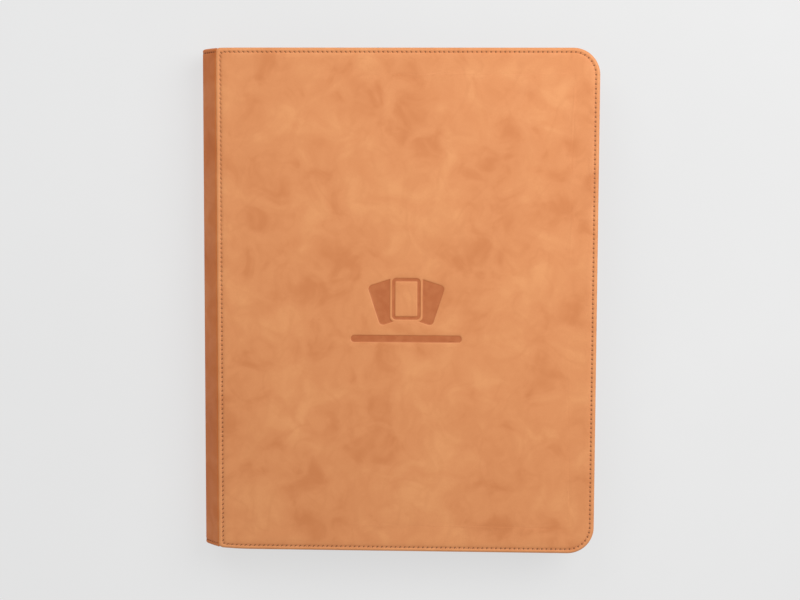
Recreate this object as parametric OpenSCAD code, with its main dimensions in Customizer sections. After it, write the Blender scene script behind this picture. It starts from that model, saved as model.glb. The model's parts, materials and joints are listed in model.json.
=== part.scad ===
// Zip-round card binder with a padded leatherette case and a block of side-loading pocket pages.
// It lies closed on its back cover: +Z up, +X from the spine to the fore-edge, +Y to the top of the cover.
// The origin is the centre of the bounding box's bottom face. Millimetres.

/* [Case] */
// Width of a cover, from the crease to the fore-edge
cover_w = 263; // [256:1:280]
// Height of a cover, along the spine
cover_h = 350; // [346:1:400]
// Thickness of the closed binder
case_t = 38; // [38:1:44]
// How far the rounded spine stands out past the crease
spine_bulge = 12; // [10:0.5:14]
// Radius of the spine's rounded nose, between its two sloping sides
nose_r = 7; // [5:0.5:8]
// Radius of the two fore-edge corners
corner_r = 18.5; // [14:0.5:24]

/* [Cover layers] */
// Thickness of the leatherette
skin_t = 1; // [0.8:0.1:1.2]
// Thickness of the foam under the leatherette
foam_t = 1.2; // [1:0.1:1.3]
// Thickness of the stiffening board
board_t = 2; // [1.8:0.1:2.1]
// Thickness of the lining, and of the leatherette's turned-in edge beside it
lining_t = 0.6; // [0.4:0.1:0.6]
// Distance of the stitch line from the cover's edge
stitch_inset = 3; // [2.5:0.1:3.1]

/* [Zip] */
// Distance of the tape's wall from the cover's edge
tape_inset = 5; // [5:0.1:6]
// Thickness of the woven tape
tape_t = 0.8; // [0.6:0.1:0.8]
// Height of one half of the coil chain
coil_h = 3; // [2.8:0.1:3.2]
// Thickness of the coil chain
coil_t = 2.5; // [2.2:0.1:2.6]
// Length of the slider along the chain
slider_l = 12; // [11:0.5:13]
// Length of the pull's leather tab
pull_tab_l = 26; // [20:1:28]

/* [Pages] */
// Width of a page, from its hinge line to its outer edge
page_w = 240; // [236:1:240]
// Height of a page
page_h = 318; // [316:1:320]
// Distance from one page to the next in the closed stack
page_pitch = 1.3; // [1.2:0.05:1.3]
// Width of a card pocket
pocket_w = 71; // [66:1:71]
// Height of a card pocket
pocket_h = 100; // [92:1:100]
// Width of the weld between pockets
weld_w = 4; // [3:0.5:4]

/* [Hidden] */
$fn = 64;
// Overlap that keeps a cut clear of the face that it goes through
eps = 0.1;

// Case
crease_x = (spine_bulge - cover_w) / 2;
fore_x = crease_x + cover_w;
cover_t = skin_t + foam_t + board_t + lining_t;
mid_z = case_t / 2;
turn_in = tape_inset + 1;
stitch_w = 0.7;
stitch_depth = 0.3;
// Running gap between pieces that only lie beside each other
clearance = 0.1;

// Debossed mark on the front cover: an outlined card before two solid ones, over a plain bar
mark_depth = 0.4;
mark_line = 2.4;
mark_card = [20, 29];
mark_card_r = 3;
mark_spread = 13;
mark_tilt = 18;
mark_drop = 2;
mark_y = 2.8;
bar_size = [77, 5];
bar_r = 2.4;
bar_y = -25;

// Spine: two flat sides slope out from the creases and meet in the nose
spine_gap = 0.3;
spine_skin_t = 1.2;
nose_x = crease_x - spine_bulge + nose_r;
nose_back = spine_bulge - nose_r;
// How far above level the sloping sides' normals point
flank_tilt = atan(nose_back / mid_z) + asin(nose_r / norm([nose_back, mid_z]));
spine_board_gap = 0.6;
spine_board_x = crease_x + spine_board_gap;
spine_lining_x = spine_board_x + board_t;
spine_end_gap = 0.8;
spine_inner_h = case_t - 2 * (cover_t + spine_end_gap);

// Page binding, clamped on the inside of the spine
page_count = 20;
binding_x = spine_lining_x + lining_t;
binding_t = 3;
binding_margin = 0.45;
binding_h = (page_count - 1) * page_pitch + 2 * binding_margin;
binding_l = 310;

// Strips of lining that cross the two creases on the inside
hinge_strip_l = 326;
hinge_strip_t = 0.4;
hinge_strip_w = 9;
hinge_strip_rise = mid_z - binding_h / 2 - cover_t - clearance;

// Rivets that hold the page binding to the spine board
rivet_r = 1.5;
rivet_head_r = 2.5;
rivet_head_t = 0.9;
rivet_tail_t = 0.6;
rivet_fit = 0.05;
rivet_y = [-135, -45, 45, 135];

// Zip
tape_flange_t = 0.5;
tape_flange_inset = 1.2;
tape_x = crease_x + 1.5;
chain_gap = 0.3;
tape_h = mid_z - cover_t - coil_h - chain_gap / 2;
wall_y = tape_inset - cover_h / 2;
slider_x = crease_x + 16;
plate_in = 1.6;
plate_t = 1;
slider_h = 9;
flange_t = 1;
flange_reach = 0.85;
post_l = 2.5;
post_h = 3.6;
crown_l = 8.2;
crown_w = 2.4;
crown_gap = 1.2;
crown_t = 0.8;
coil_x = slider_x - slider_l / 2 + post_l + chain_gap;
stop_l = 1.2;
stop_h = 3.2;
stop_t = 2.2;
stop_grip = 1;
end_stop_l = 4;
end_stop_x = crease_x + 10;

// Pull, hung on the crown's bar
pull_y = wall_y - plate_in - plate_t - crown_gap / 2;
wire_r = 0.45;
ring_l = 9;
ring_half_w = 2;
pull_tab_t = 1.6;
pull_tab_w = 8;
neck_w = 2.8;
neck_l = 3;
neck_start = 1;

// Pages: each turns on its own line in front of the binding
page_hinge_x = binding_x + binding_t + 2 * clearance;
page_tab_t = 0.25;
page_tab_gap = 0.3;
page_tab_l = 10;
page_sheet_t = 0.5;
pocket_pad_t = 0.7;
page_corner_r = 6;
pocket_margin = 2;
pocket_x = page_hinge_x + page_tab_l + pocket_margin;

// The colours of the finished object
leather_colour = [0.84, 0.57, 0.37];
leather_spine_colour = [0.72, 0.47, 0.32];
thread_colour = [0.55, 0.33, 0.2];
board_colour = [0.55, 0.52, 0.47];
foam_colour = [0.85, 0.83, 0.78];
fabric_colour = [0.13, 0.12, 0.12];
tape_colour = [0.33, 0.2, 0.13];
coil_colour = [0.26, 0.16, 0.1];
metal_colour = [0.42, 0.36, 0.28];
film_colour = [0.2, 0.21, 0.23];

function page_name(number) = str("page_", number < 10 ? "0" : "", number);

// ---- Shared shapes ----

// A cover's outline moved inwards by inset: square at the crease, round at the fore-edge
module cover_outline(inset) {
    r = corner_r - inset;
    w = cover_w - 2 * inset;
    h = cover_h - 2 * inset;
    translate([crease_x + inset, -h / 2]) square([w - r, h]);
    translate([crease_x + inset, r - h / 2]) square([w, h - 2 * r]);
    for (side = [-1, 1]) translate([fore_x - inset - r, side * (h / 2 - r)]) circle(r);
}

// A band that follows a cover's outline between two insets
module cover_band(outer, inner) {
    difference() {
        cover_outline(outer);
        cover_outline(inner);
    }
}

// A band round the three open sides only, starting at bottom_x and top_x on the bottom and top edges
module zip_band(outer, inner, bottom_x, top_x) {
    difference() {
        cover_band(outer, inner);
        translate([crease_x, inner - cover_h / 2]) square([2 * inner, cover_h - 2 * inner]);
        translate([crease_x - eps, -cover_h]) square([bottom_x - crease_x + eps, cover_h]);
        translate([crease_x - eps, 0]) square([top_x - crease_x + eps, cover_h]);
    }
}

// A rectangle with round corners, centred
module rounded_rect(size, r) {
    square([size.x - 2 * r, size.y], center = true);
    square([size.x, size.y - 2 * r], center = true);
    for (x = [-1, 1], y = [-1, 1]) translate([x * (size.x / 2 - r), y * (size.y / 2 - r)]) circle(r);
}

// A plate between two heights
module layer(bottom, top) {
    translate([0, 0, bottom]) linear_extrude(top - bottom) children();
}

// A block from its corner and size, centred on Y
module block(x, y_size, z, size_x, size_z) {
    translate([x, -y_size / 2, z]) cube([size_x, y_size, size_z]);
}

// The front cover's pieces are the back cover's, turned over on top of the pages
module on_front() {
    translate([0, 0, case_t]) mirror([0, 0, 1]) children();
}

// ---- Cover layers, drawn for the back cover ----

// Leatherette wrapped over the edges and turned in, with a groove for the stitching
module cover_skin() {
    difference() {
        layer(0, cover_t) cover_outline(0);
        layer(skin_t, cover_t - lining_t) cover_outline(skin_t);
        layer(skin_t, cover_t + eps) cover_outline(turn_in);
        layer(-eps, stitch_depth) stitch_line();
    }
}

module cover_foam() {
    layer(skin_t, skin_t + foam_t) cover_outline(skin_t);
}

module cover_board() {
    layer(skin_t + foam_t, cover_t - lining_t) cover_outline(skin_t);
}

module cover_lining() {
    layer(cover_t - lining_t, cover_t) cover_outline(turn_in);
}

module stitch_line() {
    cover_band(stitch_inset - stitch_w / 2, stitch_inset + stitch_w / 2);
}

module card_frame() {
    difference() {
        rounded_rect(mark_card, mark_card_r);
        rounded_rect(mark_card - 2 * [mark_line, mark_line], mark_card_r - mark_line);
    }
}

module mark() {
    mark_x = (crease_x + fore_x) / 2;
    translate([mark_x, mark_y]) {
        card_frame();
        difference() {
            for (side = [-1, 1])
                translate([side * mark_spread, -mark_drop]) rotate(-side * mark_tilt)
                    rounded_rect(mark_card, mark_card_r);
            rounded_rect(mark_card + [mark_line, mark_line], mark_card_r);
        }
    }
    translate([mark_x, bar_y]) rounded_rect(bar_size, bar_r);
}

// ---- Spine ----

// The spine's section moved inwards by inset: a round nose with a flat side to each crease
module spine_section(inset) {
    r = nose_r - inset;
    reach = r + nose_back * cos(flank_tilt);
    difference() {
        union() {
            translate([nose_x, mid_z]) circle(r);
            for (side = [-1, 1]) polygon([
                [nose_x - r * cos(flank_tilt), mid_z + side * r * sin(flank_tilt)],
                [crease_x, mid_z + side * reach / sin(flank_tilt)],
                [crease_x, mid_z],
                [nose_x, mid_z]
            ]);
        }
        translate([crease_x - spine_gap, -case_t]) square([spine_bulge + nose_r, 3 * case_t]);
    }
}

// A length of the spine, from one Y to another
module along_spine(from_y, to_y) {
    translate([0, to_y, 0]) rotate([90, 0, 0]) linear_extrude(to_y - from_y) children();
}

module spine_skin() {
    color(leather_spine_colour) difference() {
        along_spine(-cover_h / 2, cover_h / 2) difference() {
            spine_section(0);
            spine_section(spine_skin_t);
        }
        spine_stitch_lines();
    }
}

module spine_padding() {
    color(foam_colour) along_spine(-cover_h / 2, cover_h / 2) spine_section(spine_skin_t);
}

// The cover's stitch line goes on round the spine at both ends
module spine_stitch_lines() {
    for (side = [-1, 1]) {
        y = side * (cover_h / 2 - stitch_inset);
        along_spine(y - stitch_w / 2, y + stitch_w / 2) difference() {
            spine_section(0);
            spine_section(stitch_depth);
        }
    }
}

module spine_stitching() {
    color(thread_colour) spine_stitch_lines();
}

// Holes on the spine's middle line for the rivets
module rivet_bores(r, x, length) {
    for (y = rivet_y) translate([x, y, mid_z]) rotate([0, 90, 0]) cylinder(h = length, r = r);
}

module spine_board() {
    color(board_colour) difference() {
        block(spine_board_x, cover_h - 2 * turn_in, mid_z - spine_inner_h / 2, board_t, spine_inner_h);
        rivet_bores(rivet_r + rivet_fit, spine_board_x - eps, board_t + 2 * eps);
    }
}

module spine_lining() {
    color(fabric_colour) difference() {
        block(spine_lining_x, cover_h - 2 * turn_in, mid_z - spine_inner_h / 2, lining_t, spine_inner_h);
        rivet_bores(rivet_r + rivet_fit, spine_lining_x - eps, lining_t + 2 * eps);
    }
}

module page_binding() {
    color(film_colour) difference() {
        block(binding_x, binding_l, mid_z - binding_h / 2, binding_t, binding_h);
        rivet_bores(rivet_r + rivet_fit, binding_x - eps, binding_t);
        rivet_bores(rivet_head_r + rivet_fit, binding_x + binding_t - rivet_head_t, rivet_head_t + eps);
    }
}

module binding_rivets() {
    head_x = binding_x + binding_t - rivet_head_t;
    color(metal_colour) {
        rivet_bores(rivet_r, spine_board_x - eps, head_x - spine_board_x + 2 * eps);
        rivet_bores(rivet_head_r, head_x, rivet_head_t - clearance);
        rivet_bores(rivet_head_r, spine_board_x - rivet_tail_t, rivet_tail_t);
    }
}

// The strip that carries the lining from a cover round to the spine
module hinge_strip() {
    x = binding_x + clearance;
    block(x, hinge_strip_l, cover_t, hinge_strip_w, hinge_strip_t);
    block(x, hinge_strip_l, cover_t, hinge_strip_t, hinge_strip_rise);
}

// ---- Zip ----

// A tape stands on the cover's inner face, on a flange that is sewn under the edge
module zip_tape() {
    wall_out = tape_inset - tape_t / 2;
    wall_in = tape_inset + tape_t / 2;
    layer(cover_t, cover_t + tape_flange_t) zip_band(tape_flange_inset, wall_in, tape_x, tape_x);
    layer(cover_t, cover_t + tape_h) zip_band(wall_out, wall_in, tape_x, tape_x);
}

module zip_coil() {
    layer(cover_t + tape_h, cover_t + tape_h + coil_h)
        zip_band(tape_inset - coil_t / 2, tape_inset + coil_t / 2, coil_x, end_stop_x + end_stop_l);
}

// A metal clip on the tape's edge that stops the slider at the closed end
module zip_top_stop() {
    stop_x = slider_x - slider_l / 2 - stop_l - chain_gap;
    edge_z = cover_t + tape_h;
    difference() {
        translate([stop_x, wall_y - stop_t / 2, edge_z - stop_grip]) cube([stop_l, stop_t, stop_h]);
        translate([stop_x - eps, wall_y - tape_t / 2, 0]) cube([stop_l + 2 * eps, tape_t, edge_z]);
    }
}

// The clip that holds the chain at its far end, beside the spine
module zip_end_stop() {
    edge_z = cover_t + tape_h;
    color(metal_colour) difference() {
        translate([end_stop_x, -wall_y - stop_t / 2, edge_z - stop_grip])
            cube([end_stop_l - clearance, stop_t, stop_h]);
        translate([end_stop_x - eps, -wall_y - tape_t / 2, 0]) cube([end_stop_l + 2 * eps, tape_t, edge_z]);
    }
}

// Two plates either side of the chain, joined by the post that parts it, with a crown for the pull
module zip_slider() {
    low_z = mid_z - slider_h / 2;
    left_x = slider_x - slider_l / 2;
    plate_out = plate_in + plate_t;
    color(metal_colour) {
        for (side = [-1, 1]) {
            translate([left_x, wall_y + side * (plate_in + plate_t / 2) - plate_t / 2, low_z])
                cube([slider_l, plate_t, slider_h]);
            for (z = [low_z, low_z + slider_h - flange_t])
                translate([left_x, wall_y + side * (plate_out - (plate_t + flange_reach) / 2)
                    - (plate_t + flange_reach) / 2, z]) cube([slider_l, plate_t + flange_reach, flange_t]);
        }
        translate([left_x, wall_y - plate_out, mid_z - post_h / 2]) cube([post_l, 2 * plate_out, post_h]);
        difference() {
            translate([slider_x - crown_l / 2, wall_y - plate_out - crown_gap - crown_t, mid_z - crown_w / 2])
                cube([crown_l, crown_gap + crown_t + eps, crown_w]);
            translate([slider_x - crown_l / 2 + crown_t, wall_y - plate_out - crown_gap, mid_z - crown_w])
                cube([crown_l - 2 * crown_t, crown_gap, 2 * crown_w]);
        }
    }
}

// A wire ring round the crown's bar
module zip_pull_ring() {
    color(metal_colour) translate([slider_x, pull_y, mid_z]) {
        for (x = [0, ring_l]) translate([x, 0, -ring_half_w]) cylinder(h = 2 * ring_half_w, r = wire_r);
        for (side = [-1, 1]) {
            translate([0, 0, side * ring_half_w]) rotate([0, 90, 0]) cylinder(h = ring_l, r = wire_r);
            for (x = [0, ring_l]) translate([x, 0, side * ring_half_w]) sphere(wire_r);
        }
    }
}

module zip_pull_tab() {
    tab_x = ring_l - neck_start;
    color(leather_colour) translate([slider_x, pull_y + pull_tab_t / 2, mid_z]) rotate([90, 0, 0])
    difference() {
        linear_extrude(pull_tab_t) {
            translate([tab_x, -neck_w / 2]) square([neck_l, neck_w]);
            translate([tab_x + neck_l - eps, -pull_tab_w / 2])
                square([pull_tab_l - neck_l - pull_tab_w / 2, pull_tab_w]);
            translate([tab_x + pull_tab_l - pull_tab_w / 2 - eps, 0]) circle(pull_tab_w / 2);
        }
        translate([ring_l, -neck_w, pull_tab_t / 2]) rotate([-90, 0, 0])
            cylinder(h = 2 * neck_w, r = wire_r + rivet_fit);
    }
}

// ---- Pages ----

// One page: a thin hinge tab, a sheet, and three rows of three pockets on both faces
module page(number) {
    z = mid_z + (number - (page_count + 1) / 2) * page_pitch;
    sheet_x = page_hinge_x + page_tab_l;
    sheet_w = page_w - page_tab_l;
    color(film_colour) {
        block(page_hinge_x + page_tab_gap, page_h - 2 * page_corner_r, z - page_tab_t / 2, page_tab_l,
            page_tab_t);
        layer(z - page_sheet_t / 2, z + page_sheet_t / 2) translate([sheet_x + sheet_w / 2, 0])
            rounded_rect([sheet_w, page_h], page_corner_r);
        for (column = [0:2], row = [-1:1])
            translate([pocket_x + column * (pocket_w + weld_w), row * (pocket_h + weld_w), z])
                block(0, pocket_h, -pocket_pad_t / 2, pocket_w, pocket_pad_t);
    }
}

// ---- Named pieces ----

module back_cover_skin() {
    color(leather_colour) cover_skin();
}

module back_cover_foam() {
    color(foam_colour) cover_foam();
}

module back_cover_board() {
    color(board_colour) cover_board();
}

module back_cover_lining() {
    color(fabric_colour) cover_lining();
}

module back_cover_stitching() {
    color(thread_colour) layer(0, stitch_depth) stitch_line();
}

module front_cover_skin() {
    color(leather_colour) difference() {
        on_front() cover_skin();
        layer(case_t - mark_depth, case_t + eps) mark();
    }
}

module front_cover_foam() {
    color(foam_colour) on_front() cover_foam();
}

module front_cover_board() {
    color(board_colour) on_front() cover_board();
}

module front_cover_lining() {
    color(fabric_colour) on_front() cover_lining();
}

module front_cover_stitching() {
    color(thread_colour) on_front() layer(0, stitch_depth) stitch_line();
}

module back_hinge_strip() {
    color(fabric_colour) hinge_strip();
}

module front_hinge_strip() {
    color(fabric_colour) on_front() hinge_strip();
}

module back_zip_tape() {
    color(tape_colour) zip_tape();
}

module front_zip_tape() {
    color(tape_colour) on_front() zip_tape();
}

module back_zip_coil() {
    color(coil_colour) zip_coil();
}

module front_zip_coil() {
    color(coil_colour) on_front() zip_coil();
}

module back_zip_top_stop() {
    color(metal_colour) zip_top_stop();
}

module front_zip_top_stop() {
    color(metal_colour) on_front() zip_top_stop();
}

back_cover_skin();
back_cover_foam();
back_cover_board();
back_cover_lining();
back_cover_stitching();
front_cover_skin();
front_cover_foam();
front_cover_board();
front_cover_lining();
front_cover_stitching();
spine_skin();
spine_stitching();
spine_padding();
spine_board();
spine_lining();
page_binding();
binding_rivets();
back_hinge_strip();
front_hinge_strip();
back_zip_tape();
front_zip_tape();
back_zip_coil();
front_zip_coil();
back_zip_top_stop();
front_zip_top_stop();
zip_end_stop();
zip_slider();
zip_pull_ring();
zip_pull_tab();
for (number = [1:page_count])
    page(number);
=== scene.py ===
"""Looks of a zip-round card binder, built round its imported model. Metres, in the model's own frame."""
import json
import math

import bmesh
import bpy
import numpy as np
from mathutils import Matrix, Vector


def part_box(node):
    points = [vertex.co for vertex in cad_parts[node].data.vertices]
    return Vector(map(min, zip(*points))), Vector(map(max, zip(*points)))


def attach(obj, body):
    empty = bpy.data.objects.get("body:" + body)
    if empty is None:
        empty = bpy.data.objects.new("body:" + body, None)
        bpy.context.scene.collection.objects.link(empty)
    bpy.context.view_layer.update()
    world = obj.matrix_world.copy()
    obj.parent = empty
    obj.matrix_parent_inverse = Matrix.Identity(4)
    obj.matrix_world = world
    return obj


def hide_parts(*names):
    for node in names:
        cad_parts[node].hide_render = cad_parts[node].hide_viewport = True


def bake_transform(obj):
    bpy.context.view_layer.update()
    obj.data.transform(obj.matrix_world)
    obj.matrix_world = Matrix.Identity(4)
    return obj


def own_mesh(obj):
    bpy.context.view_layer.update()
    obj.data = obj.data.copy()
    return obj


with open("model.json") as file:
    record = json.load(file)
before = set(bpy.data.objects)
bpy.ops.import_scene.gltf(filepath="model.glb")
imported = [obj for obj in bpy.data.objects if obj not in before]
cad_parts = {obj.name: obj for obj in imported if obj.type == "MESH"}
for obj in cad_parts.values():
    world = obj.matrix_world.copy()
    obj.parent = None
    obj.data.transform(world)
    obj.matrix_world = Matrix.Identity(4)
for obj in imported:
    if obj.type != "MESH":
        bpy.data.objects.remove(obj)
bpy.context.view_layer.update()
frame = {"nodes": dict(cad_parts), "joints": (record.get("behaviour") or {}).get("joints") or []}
MM = 0.001
RANDOM = np.random.RandomState(11)

# ---- Places, from the frame ----

SKIN_LO, SKIN_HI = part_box("front_cover_skin")
FOAM_LO, FOAM_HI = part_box("front_cover_foam")
LINING_LO, LINING_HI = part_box("front_cover_lining")
CREASE_X, FORE_X, HALF_H = SKIN_LO.x, SKIN_HI.x, SKIN_HI.y
CASE_T = SKIN_HI.z
MID_Z = CASE_T / 2
COVER_T = CASE_T - SKIN_LO.z
SKIN_T = CASE_T - FOAM_HI.z
FOAM_T = FOAM_HI.z - FOAM_LO.z
LINING_T = LINING_HI.z - LINING_LO.z
TURN_IN = LINING_LO.x - SKIN_LO.x
CORNER_R = 18.5 * MM

# Stitching, and the dimples that it pulls into the leather
STITCH_INSET = 3 * MM
STITCH_PITCH = 3.2 * MM
STITCH_SAMPLES = 4
STITCH_RINGS = 7
STITCH_SIDES = 6
STITCH_FILL = 0.64
STITCH_RISE = 0.12 * MM
STITCH_DIVE = 0.3 * MM
THREAD_R = 0.28 * MM
PUCKER = 0.34 * MM
PUCKER_W = 0.68 * MM
SCALLOP = 0.07 * MM
SCALLOP_W = 0.7 * MM

# The panel's outline draws back a little where it meets the crease, more at the bottom than at the top
EASE_LENGTH = 24 * MM
EASE_BOTTOM = 1.1 * MM
EASE_TOP = 0.2 * MM
EASE_DEPTH = 6 * MM
SQUARE_ROUND = 2.4 * MM
SQUARE_PULL = 0.6 * MM

# Roll of the leatherette over an edge, and (inset, depth) from the roll over the stitch line to the panel
EDGE_ROLL = 1.6 * MM
ROLL_ANGLES = np.radians([0, 18, 36, 54, 72])
FACE = np.array([
    (1.6, 0.0), (2.1, 0.05), (2.6, 0.2), (3.0, 0.32), (3.4, 0.22), (3.85, 0.05), (4.4, -0.06),
    (5.2, -0.15), (6.6, -0.2), (8.0, -0.18), (10.0, -0.12), (12.5, -0.06), (15.0, -0.02), (17.5, -0.003),
]) * MM
STITCH_VALLEY = float(np.interp(STITCH_INSET, FACE[:, 0], FACE[:, 1]))
CREASE_SHARE = 0.4

# Soft swell of the panel, and the grid that carries it, fine round the mark
SWELL = 0.12 * MM
SWELL_SIZE = 45 * MM
SWELL_WAVES = 6
SWELL_SEED = 5
PANEL_INSET = 19 * MM
PANEL_FINE = 0.55 * MM
PANEL_PLAIN = 6 * MM
PANEL_COARSE = 2.8 * MM

# Mark: an outlined card before two solid ones, over a plain bar
MARK_X = (CREASE_X + FORE_X) / 2
MARK_Y = 2.8 * MM
MARK_DEPTH = 0.4 * MM
MARK_DISH = 0.12 * MM
MARK_LINE = 2.4 * MM
CARD_HALF = np.array([10, 14.5]) * MM
CARD_R = 3 * MM
CARD_SPREAD = 13 * MM
CARD_TILT = math.radians(18)
CARD_DROP = 2 * MM
BAR_Y = -25 * MM
BAR_HALF = np.array([38.5, 2.5]) * MM
BAR_R = 2.4 * MM
MARK_HALF = np.array([42, 31]) * MM

# Spine: two straight flanks round a nose
NOSE_R = 7 * MM
NOSE_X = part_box("spine_skin")[0].x + NOSE_R
NOSE_BACK = CREASE_X - NOSE_X
FLANK_TILT = math.atan(NOSE_BACK / MID_Z) + math.asin(NOSE_R / math.hypot(NOSE_BACK, MID_Z))
FLANK_PUFF = 0.25 * MM
SPINE_SKIN_T = 1.2 * MM
SPINE_SHELL = 0.8
SPINE_SAMPLES = 4
SPINE_EDGE = CREASE_X - 0.03 * MM
SPINE_ROLL = 2.4 * MM
SPINE_FLAP = 6 * MM
SPINE_PUCKER_W = 0.6 * MM
CREASE_ROLL = 1.6 * MM
CREASE_DROP = 0.3 * MM
REACH = NOSE_R + NOSE_BACK * math.cos(FLANK_TILT)
FLANK_TOP = np.array([CREASE_X, MID_Z + REACH / math.sin(FLANK_TILT)])
FLANK_END = np.array([NOSE_X - NOSE_R * math.cos(FLANK_TILT), MID_Z + NOSE_R * math.sin(FLANK_TILT)])
FLANK_L = float(np.linalg.norm(FLANK_END - FLANK_TOP))
NOSE_L = 2 * FLANK_TILT * NOSE_R
SECTION_L = 2 * FLANK_L + NOSE_L
SPINE_STITCHES = round(SECTION_L / STITCH_PITCH)

# Zip
TAPE_LO, TAPE_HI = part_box("back_zip_tape")
SLIDER_LO, SLIDER_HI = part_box("zip_slider")
RING_LO, RING_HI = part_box("zip_pull_ring")
TAB_LO, TAB_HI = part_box("zip_pull_tab")
CHAIN_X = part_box("back_zip_coil")[0].x + 1 * MM
CHAIN_END_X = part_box("zip_end_stop")[1].x + 0.5 * MM
TAPE_INSET = 5 * MM
TAPE_HALF_T = 0.4 * MM
TAPE_STEP = 1.5 * MM
COIL_PITCH = 1.5 * MM
COIL_SIDES = 5
WIRE_R = 0.36 * MM
CORE_R = 0.42 * MM
CORE_OUT = 1.5 * MM
SLIDER_TRAVEL = next(j for j in frame["joints"] if j["name"] == "zip_slide")["range_m"][1]
WALL_Y = TAPE_INSET - HALF_H
RING_SIDES = 10

# Pages
PAGES = sorted(n for n in frame["nodes"] if n.startswith("page_") and n[5:].isdigit())
PAGE_HINGE_L = 10 * MM
PAGE_CORNER_R = 6 * MM
PAGE_EDGE = 1.5 * MM
POCKET = np.array([71, 100]) * MM
WELD = 4 * MM
POCKET_START = 12 * MM

# Stage
CAMERA_AT = (44.8 * MM, 92.1 * MM, 1.1)
CAMERA_TURN = (-4.836, 2.345, 0.210)
CAMERA_LENS = 69.38
FLOOR_HALF = 4.0
FLOOR_Z = -0.0002


# ---- Meshes ----

class Shape:
    """Points and faces of one piece, gathered part by part."""

    def __init__(self):
        self.points, self.faces, self.count = [], [], 0
        self.values = {}

    def add(self, points, faces, **values):
        """Adds points, faces that number them from 0, and named numbers kept on each point."""
        points = np.asarray(points, float).reshape(-1, 3)
        self.faces += [tuple(int(i) + self.count for i in face) for face in faces]
        self.points.append(points)
        for name in set(values) | set(self.values):
            column = self.values.setdefault(name, [np.zeros(self.count)])
            column.append(np.broadcast_to(values.get(name, 0.0), len(points)))
        self.count += len(points)

    def piece(self, name, look, recalculate=True, smooth=True):
        mesh = bpy.data.meshes.new(name)
        mesh.from_pydata(np.concatenate(self.points).tolist(), [], self.faces)
        mesh.polygons.foreach_set("use_smooth", [smooth] * len(self.faces))
        mesh.materials.append(look)
        for key, columns in self.values.items():
            attribute = mesh.attributes.new(key, "FLOAT", "POINT")
            attribute.data.foreach_set("value", np.concatenate(columns).astype(np.float32))
        made = bpy.data.objects.new(name, mesh)
        if recalculate:
            edit_mesh(made, lambda bm: bmesh.ops.recalc_face_normals(bm, faces=bm.faces))
        mesh.update()
        bpy.context.scene.collection.objects.link(made)
        return made


def edit_mesh(piece, change):
    """Runs a bmesh change on the piece's mesh."""
    bm = bmesh.new()
    bm.from_mesh(piece.data)
    change(bm)
    bm.to_mesh(piece.data)
    bm.free()


def place(piece, body, slot, *nodes):
    """Sets the body that the piece rides on and the CAD nodes that it replaces. The slot argument is not
    used.
    """
    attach(piece, body)
    if nodes:
        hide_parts(*nodes)
    return piece


def grid_faces(rows, columns, wrap=False):
    """Quads of a grid of points, row by row. wrap joins each row's end to its start."""
    return [
        (r * columns + c, r * columns + (c + 1) % columns,
         (r + 1) * columns + (c + 1) % columns, (r + 1) * columns + c)
        for r in range(rows - 1)
        for c in range(columns if wrap else columns - 1)
    ]


def grid_rim(rows, columns):
    """Point numbers round the edge of a grid, as a loop."""
    rim = list(range(columns)) + [r * columns + columns - 1 for r in range(1, rows)]
    rim += [(rows - 1) * columns + c for c in range(columns - 2, -1, -1)]
    return rim + [r * columns for r in range(rows - 2, 0, -1)]


def flipped(faces, count):
    """The same faces turned over, on a second set of points that starts at count."""
    return [tuple(i + count for i in reversed(face)) for face in faces]


def tube_faces(rings, sides):
    """A closed tube's sides and its two ends."""
    last = (rings - 1) * sides
    return grid_faces(rings, sides, wrap=True) + [
        tuple(reversed(range(sides))), tuple(range(last, last + sides))
    ]


def add_tube(shape, rings, **values):
    """Adds a closed tube from its rings of points."""
    shape.add(np.vstack(rings), tube_faces(len(rings), len(rings[0])), **values)


def zip_loops(a, b, a_places, b_places, full=6.0):
    """Triangles between two closed loops of point numbers, given how far round each point is."""
    faces, i, j = [], 0, 0
    while i < len(a) or j < len(b):
        next_a = a_places[i + 1] if i + 1 < len(a) else full if i < len(a) else math.inf
        next_b = b_places[j + 1] if j + 1 < len(b) else full if j < len(b) else math.inf
        here_a, here_b = a[i % len(a)], b[j % len(b)]
        if next_a <= next_b:
            i += 1
            faces.append((here_a, a[i % len(a)], here_b))
        else:
            j += 1
            faces.append((here_a, b[j % len(b)], here_b))
    return faces


def at_y(section, y):
    """Points of an (x, z) section at a place, or places, along Y."""
    return np.column_stack([section[:, 0], np.broadcast_to(y, len(section)), section[:, 1]])


def tube_along(path, radius, sides=8, closed=False):
    """Rings of points round a smooth path."""
    path = np.asarray(path, float)
    ahead = np.roll(path, -1, 0) - np.roll(path, 1, 0)
    if not closed:
        ahead[0], ahead[-1] = path[1] - path[0], path[-1] - path[-2]
    ahead /= np.linalg.norm(ahead, axis=1)[:, None]
    up = np.array([0.0, 0.0, 1.0]) if abs(ahead[0, 2]) < 0.9 else np.array([1.0, 0.0, 0.0])
    angles = np.arange(sides) * 2 * math.pi / sides
    rings = []
    for point, direction in zip(path, ahead):
        side = np.cross(direction, up)
        side /= np.linalg.norm(side)
        up = np.cross(side, direction)
        rings.append(point + radius * (np.cos(angles)[:, None] * side + np.sin(angles)[:, None] * up))
    return np.array(rings)


def bevel(piece, width, segments=2):
    """Rounds the piece's sharp edges."""
    rounding = piece.modifiers.new("rounding", "BEVEL")
    rounding.width = width
    rounding.segments = segments
    rounding.limit_method = "ANGLE"
    rounding.harden_normals = False


def apply_modifiers(piece):
    """Makes the piece's modifiers part of its mesh."""
    shown = piece.evaluated_get(bpy.context.evaluated_depsgraph_get())
    mesh = bpy.data.meshes.new_from_object(shown)
    piece.modifiers.clear()
    piece.data = mesh


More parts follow.
